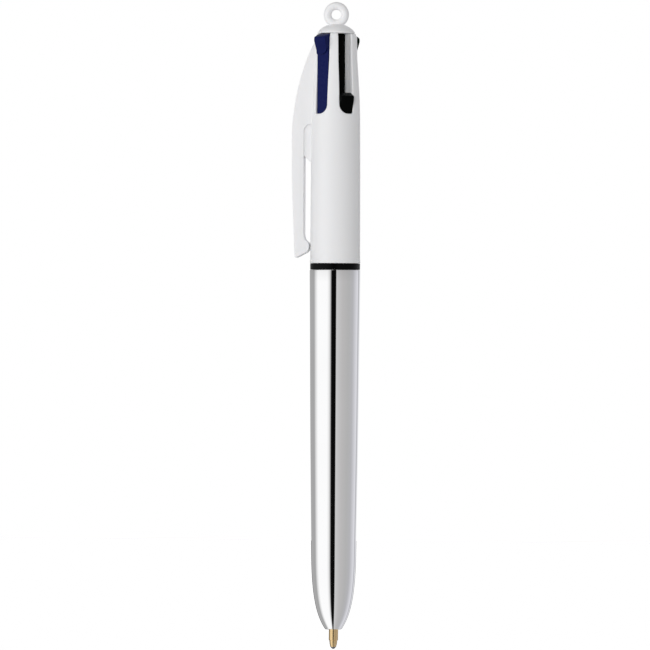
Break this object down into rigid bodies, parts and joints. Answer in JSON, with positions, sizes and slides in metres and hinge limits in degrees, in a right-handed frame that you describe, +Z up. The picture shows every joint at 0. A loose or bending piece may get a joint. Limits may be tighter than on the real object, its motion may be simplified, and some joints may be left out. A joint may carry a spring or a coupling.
{
  "type": "multicolor click pen",
  "caption": "Ballpoint pen with coloured thumb sliders in slots, a side clip, a loop on its cap and an unscrewing chromed barrel; one point is out.",
  "frame": {"origin": "centre of the loop on the top cap", "axes": "+Z up the pen from the writing point to the loop, -X from the pen's axis to the clip, -Y towards the side with the blue and black sliders; the loop's hole runs along Y"},
  "size_m": [0.0157, 0.0116, 0.147],
  "materials": {
    "white_plastic": "smooth moulded plastic, soft gloss",
    "trim_black": "gloss",
    "core_black": "matt moulded plastic",
    "chrome_plating": "mirror-bright plating",
    "tube_plastic": "milky clear polypropylene",
    "brass_point": "turned, bright",
    "ball_steel": "hard metal ball, inked",
    "spring_steel": "drawn wire",
    "blue_plastic": "moulded plastic, soft gloss",
    "blue_ink": "thick wet ink",
    "black_plastic": "moulded plastic, soft gloss",
    "black_ink": "thick wet ink",
    "green_plastic": "moulded plastic, soft gloss",
    "green_ink": "thick wet ink",
    "red_plastic": "moulded plastic, soft gloss",
    "red_ink": "thick wet ink"
  },
  "bodies": {
    "root": {"upper_barrel": "white_plastic", "top_cap": "white_plastic", "guide_core": "core_black", "threaded_sleeve": "white_plastic", "spring_plate": "white_plastic", "blue_spring": "spring_steel", "black_spring": "spring_steel", "green_spring": "spring_steel", "red_spring": "spring_steel"},
    "trim_ring": {"trim_ring": "trim_black"},
    "lower_barrel": {"lower_barrel": "chrome_plating"},
    "blue_slider": {"blue_slider": "blue_plastic", "blue_refill_tube": "tube_plastic", "blue_ink": "blue_ink", "blue_point": "brass_point"},
    "blue_ball": {"blue_ball": "ball_steel"},
    "black_slider": {"black_slider": "black_plastic"},
    "black_refill": {"black_refill_tube": "tube_plastic", "black_ink": "black_ink", "black_point": "brass_point"},
    "black_ball": {"black_ball": "ball_steel"},
    "green_slider": {"green_slider": "green_plastic", "green_refill_tube": "tube_plastic", "green_ink": "green_ink", "green_point": "brass_point"},
    "green_ball": {"green_ball": "ball_steel"},
    "red_slider": {"red_slider": "red_plastic"},
    "red_refill": {"red_refill_tube": "tube_plastic", "red_ink": "red_ink", "red_point": "brass_point"},
    "red_ball": {"red_ball": "ball_steel"}
  },
  "joints": [
    {"name": "red_slide", "type": "slide", "parent": "root", "child": "red_slider", "axis": [0, 0, -1], "range_m": [0, 0.0134], "stiffness_N_per_m": 150, "springref_m": -0.003, "deforming": ["red_spring"]},
    {"name": "black_slide", "type": "slide", "parent": "root", "child": "black_slider", "axis": [0, 0, 1], "range_m": [0, 0.0134], "deforming": ["black_spring"]},
    {"name": "blue_slide", "type": "slide", "parent": "root", "child": "blue_slider", "axis": [0, 0, -1], "range_m": [0, 0.004], "stiffness_N_per_m": 150, "springref_m": -0.003, "deforming": ["blue_spring"]},
    {"name": "green_slide", "type": "slide", "parent": "root", "child": "green_slider", "axis": [0, 0, -1], "range_m": [0, 0.004], "stiffness_N_per_m": 150, "springref_m": -0.003, "deforming": ["green_spring"]},
    {"name": "red_refill_tilt", "type": "hinge", "parent": "red_slider", "child": "red_refill", "pos_m": [-0.00158, 0.00279, -0.02712], "axis": [-0.8704, -0.4924, 0], "range_deg": [0, 1.4]},
    {"name": "black_refill_tilt", "type": "hinge", "parent": "black_slider", "child": "black_refill", "pos_m": [0.00184, -0.00262, -0.04052], "axis": [0.8192, 0.5736, 0], "range_deg": [-1.4, 0]},
    {"name": "barrel_draw", "type": "slide", "parent": "root", "child": "trim_ring", "axis": [0, 0, -1], "range_m": [0, 0.0045]},
    {"name": "barrel_unscrew", "type": "hinge", "parent": "trim_ring", "child": "lower_barrel", "pos_m": [0, 0, -0.06212], "axis": [0, 0, -1], "range_deg": [0, 1080]},
    {"name": "blue_ball_roll", "type": "hinge", "parent": "blue_slider", "child": "blue_ball", "pos_m": [-0.00135, -0.00211, -0.13027], "axis": [0.8434, -0.5373, 0], "continuous": true},
    {"name": "black_ball_roll", "type": "hinge", "parent": "black_refill", "child": "black_ball", "pos_m": [0.00001, -0.00001, -0.14362], "axis": [0.8192, 0.5736, 0], "continuous": true},
    {"name": "green_ball_roll", "type": "hinge", "parent": "green_slider", "child": "green_ball", "pos_m": [0.00154, 0.00197, -0.13027], "axis": [-0.788, 0.6157, 0], "continuous": true},
    {"name": "red_ball_roll", "type": "hinge", "parent": "red_refill", "child": "red_ball", "pos_m": [-0.00123, 0.00218, -0.13027], "axis": [-0.8704, -0.4924, 0], "continuous": true}
  ],
  "couplings": [
    {"joint": "black_slide", "follows": "red_slide", "ratio": 1},
    {"joint": "red_refill_tilt", "follows": "red_slide", "rad_per_m": 1.8003},
    {"joint": "black_refill_tilt", "follows": "red_slide", "rad_per_m": -1.8003},
    {"joint": "barrel_unscrew", "follows": "barrel_draw", "rad_per_m": 4188.8}
  ]
}
